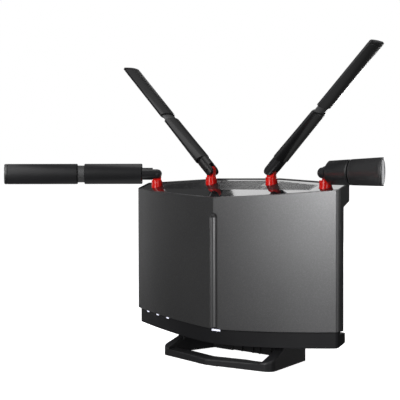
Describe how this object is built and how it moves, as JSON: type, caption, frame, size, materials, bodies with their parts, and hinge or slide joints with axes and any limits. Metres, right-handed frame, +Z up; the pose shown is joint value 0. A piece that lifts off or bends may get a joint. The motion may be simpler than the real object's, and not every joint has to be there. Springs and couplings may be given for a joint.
{
  "type": "wireless router",
  "caption": "Upright desktop wireless router with a V-shaped front, a sloped vented roof, a ring stand, and paddle antennas that swivel, tilt and twist.",
  "frame": {"origin": "on the desk plane, in the mirror plane, straight below the front crease of the housing, on the stand's front centre pad", "axes": "+X to the router's own left as seen from behind, which is the viewer's right from the front; +Y from the front crease to the rear; +Z up"},
  "size_m": [0.5444, 0.1713, 0.352],
  "materials": {
    "gunmetal_shell": "satin metallic grey paint",
    "black_plastic": "fine-grained matt black",
    "gloss_black": "polished black",
    "grille_satin": "smooth satin black",
    "red_gloss": "polished red",
    "antenna_black": "satin black",
    "antenna_waist": "polished black",
    "antenna_cap": "polished black",
    "stand_black": "satin black",
    "pad_rubber": "matt rubber",
    "light_lens": "milky white lens",
    "circuit_board": "green solder mask",
    "bare_aluminium": "brushed",
    "tinned_steel": "tinned",
    "black_steel": "blackened",
    "lead_jacket": "smooth jacket",
    "blank_label": "matt grey, blank",
    "button_black": "satin"
  },
  "bodies": {
    "housing": {"front_shell": "gunmetal_shell", "base_band": "black_plastic", "rear_cover": "black_plastic", "roof_panel": "gloss_black", "roof_vent": "grille_satin", "antenna_sockets": "black_plastic", "status_lights": "light_lens", "centre_light": "light_lens", "main_board": "circuit_board", "heatsink": "bare_aluminium", "shield_cans": "tinned_steel", "board_posts": "black_plastic", "cover_screws": "black_steel", "wan_port": "tinned_steel", "lan_ports": "tinned_steel", "usb_port": "tinned_steel", "power_jack": "black_plastic", "port_panel": "black_plastic", "rating_plate": "blank_label", "light_board": "circuit_board", "antenna_leads": "lead_jacket", "stand": "stand_black", "stand_pads": "pad_rubber", "stand_screws": "black_steel"},
    "antenna_1_turret": {"antenna_1_swivel_base": "red_gloss"},
    "antenna_1_knuckle": {"antenna_1_neck": "antenna_black", "antenna_1_hinge_pin": "black_steel"},
    "antenna_1_blade": {"antenna_1_lower_sleeve": "antenna_black", "antenna_1_waist": "antenna_waist", "antenna_1_upper_sleeve": "antenna_black", "antenna_1_tip_cap": "antenna_cap", "antenna_1_element": "circuit_board"},
    "antenna_2_turret": {"antenna_2_swivel_base": "red_gloss"},
    "antenna_2_knuckle": {"antenna_2_neck": "antenna_black", "antenna_2_hinge_pin": "black_steel"},
    "antenna_2_blade": {"antenna_2_lower_sleeve": "antenna_black", "antenna_2_waist": "antenna_waist", "antenna_2_upper_sleeve": "antenna_black", "antenna_2_tip_cap": "antenna_cap", "antenna_2_element": "circuit_board"},
    "antenna_3_turret": {"antenna_3_swivel_base": "red_gloss"},
    "antenna_3_knuckle": {"antenna_3_neck": "antenna_black", "antenna_3_hinge_pin": "black_steel"},
    "antenna_3_blade": {"antenna_3_lower_sleeve": "antenna_black", "antenna_3_waist": "antenna_waist", "antenna_3_upper_sleeve": "antenna_black", "antenna_3_tip_cap": "antenna_cap", "antenna_3_element": "circuit_board"},
    "antenna_4_turret": {"antenna_4_swivel_base": "red_gloss"},
    "antenna_4_knuckle": {"antenna_4_neck": "antenna_black", "antenna_4_hinge_pin": "black_steel"},
    "antenna_4_blade": {"antenna_4_lower_sleeve": "antenna_black", "antenna_4_waist": "antenna_waist", "antenna_4_upper_sleeve": "antenna_black", "antenna_4_tip_cap": "antenna_cap", "antenna_4_element": "circuit_board"},
    "power_button": {"power_button": "button_black"},
    "pairing_button": {"pairing_button": "button_black"},
    "reset_button": {"reset_button": "button_black"},
    "mode_switch": {"mode_switch": "button_black"}
  },
  "joints": [
    {"name": "antenna_1_swivel", "type": "hinge", "parent": "housing", "child": "antenna_1_turret", "pos_m": [-0.126, 0.038, 0.21532], "axis": [0, 0, 1], "range_deg": [-40.5, 49.5]},
    {"name": "antenna_1_tilt", "type": "hinge", "parent": "antenna_1_turret", "child": "antenna_1_knuckle", "pos_m": [-0.126, 0.038, 0.21532], "axis": [0.6494, -0.7604, 0], "range_deg": [-70, 0]},
    {"name": "antenna_1_twist", "type": "hinge", "parent": "antenna_1_knuckle", "child": "antenna_1_blade", "pos_m": [-0.126, 0.038, 0.21532], "axis": [-0.7604, -0.6494, 0], "range_deg": [-90, 90]},
    {"name": "antenna_2_swivel", "type": "hinge", "parent": "housing", "child": "antenna_2_turret", "pos_m": [-0.0453, 0.0485, 0.21889], "axis": [0, 0, 1], "range_deg": [-80, 80]},
    {"name": "antenna_2_tilt", "type": "hinge", "parent": "antenna_2_turret", "child": "antenna_2_knuckle", "pos_m": [-0.0453, 0.0485, 0.21889], "axis": [0, -1, 0], "range_deg": [-46.3, 24]},
    {"name": "antenna_2_twist", "type": "hinge", "parent": "antenna_2_knuckle", "child": "antenna_2_blade", "pos_m": [-0.0453, 0.0485, 0.21889], "axis": [-0.723, 0, 0.6909], "range_deg": [-90, 90]},
    {"name": "antenna_3_swivel", "type": "hinge", "parent": "housing", "child": "antenna_3_turret", "pos_m": [0.0453, 0.0485, 0.21889], "axis": [0, 0, -1], "range_deg": [-80, 80]},
    {"name": "antenna_3_tilt", "type": "hinge", "parent": "antenna_3_turret", "child": "antenna_3_knuckle", "pos_m": [0.0453, 0.0485, 0.21889], "axis": [0, 1, 0], "range_deg": [-46.3, 24]},
    {"name": "antenna_3_twist", "type": "hinge", "parent": "antenna_3_knuckle", "child": "antenna_3_blade", "pos_m": [0.0453, 0.0485, 0.21889], "axis": [0.723, 0, 0.6909], "range_deg": [-90, 90]},
    {"name": "antenna_4_swivel", "type": "hinge", "parent": "housing", "child": "antenna_4_turret", "pos_m": [0.126, 0.038, 0.21532], "axis": [0, 0, -1], "range_deg": [-40.5, 49.5]},
    {"name": "antenna_4_tilt", "type": "hinge", "parent": "antenna_4_turret", "child": "antenna_4_knuckle", "pos_m": [0.126, 0.038, 0.21532], "axis": [0.6494, 0.7604, 0], "range_deg": [-70, 0]},
    {"name": "antenna_4_twist", "type": "hinge", "parent": "antenna_4_knuckle", "child": "antenna_4_blade", "pos_m": [0.126, 0.038, 0.21532], "axis": [0.7604, -0.6494, 0], "range_deg": [-90, 90]},
    {"name": "power_button_press", "type": "slide", "parent": "housing", "child": "power_button", "axis": [0, -1, 0], "range_m": [0, 0.0015], "stiffness_N_per_m": 400},
    {"name": "pairing_button_press", "type": "slide", "parent": "housing", "child": "pairing_button", "axis": [0, -1, 0], "range_m": [0, 0.0007], "stiffness_N_per_m": 400},
    {"name": "reset_button_press", "type": "slide", "parent": "housing", "child": "reset_button", "axis": [0, -1, 0], "range_m": [0, 0.001], "stiffness_N_per_m": 300},
    {"name": "mode_switch_slide", "type": "slide", "parent": "housing", "child": "mode_switch", "axis": [1, 0, 0], "range_m": [-0.0028, 0.0028]}
  ]
}
